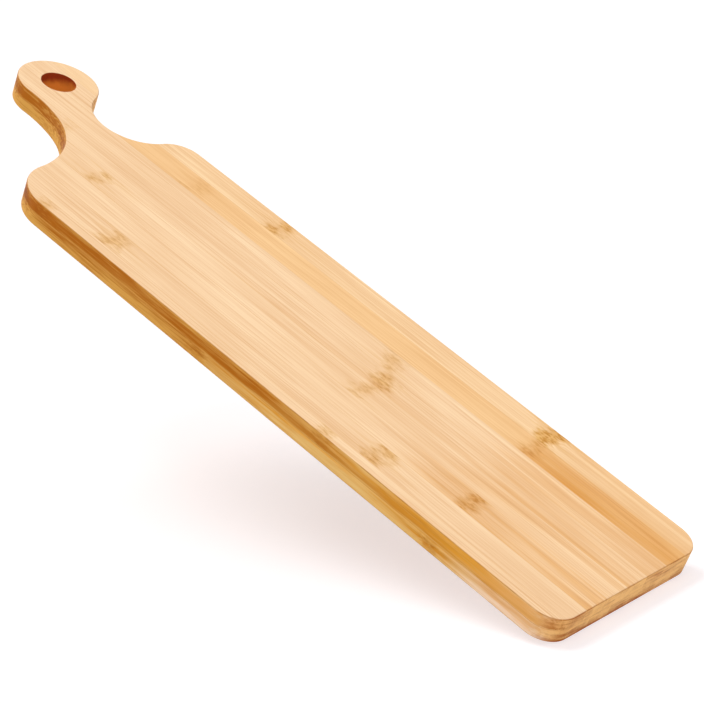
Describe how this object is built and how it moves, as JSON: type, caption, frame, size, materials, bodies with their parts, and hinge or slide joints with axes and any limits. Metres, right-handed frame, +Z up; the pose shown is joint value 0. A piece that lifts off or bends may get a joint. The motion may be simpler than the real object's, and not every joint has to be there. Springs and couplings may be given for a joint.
{
  "type": "paddle charcuterie board",
  "caption": "Long laminated bamboo serving board with rounded corners, a slim leaning handle and a round hanging hole.",
  "frame": {"origin": "middle of the board's overall length and width, on the underside", "axes": "+X from the handle towards the square end, +Y towards the edge that the handle leans to, +Z up out of the serving face"},
  "size_m": [0.5, 0.13, 0.015],
  "materials": {
    "bamboo_pale": "oiled, satin",
    "bamboo_honey": "oiled, satin",
    "bamboo_golden": "oiled, satin",
    "glue": "cured wood glue, satin"
  },
  "bodies": {
    "root": {"top_slat_1": "bamboo_honey", "top_slat_2": "bamboo_golden", "top_slat_3": "bamboo_pale", "top_slat_4": "bamboo_pale", "top_slat_5": "bamboo_pale", "top_slat_6": "bamboo_pale", "top_slat_7": "bamboo_pale", "top_slat_8": "bamboo_pale", "top_handle_slat_1": "bamboo_honey", "top_handle_slat_2": "bamboo_pale", "bottom_slat_1": "bamboo_honey", "bottom_slat_2": "bamboo_pale", "bottom_slat_3": "bamboo_honey", "bottom_slat_4": "bamboo_pale", "bottom_slat_5": "bamboo_honey", "bottom_slat_6": "bamboo_pale", "bottom_slat_7": "bamboo_pale", "bottom_slat_8": "bamboo_honey", "bottom_handle_slat_1": "bamboo_honey", "bottom_handle_slat_2": "bamboo_pale", "top_glue_lines": "glue", "bottom_glue_lines": "glue", "ply_glue_sheet": "glue"}
  },
  "joints": []
}
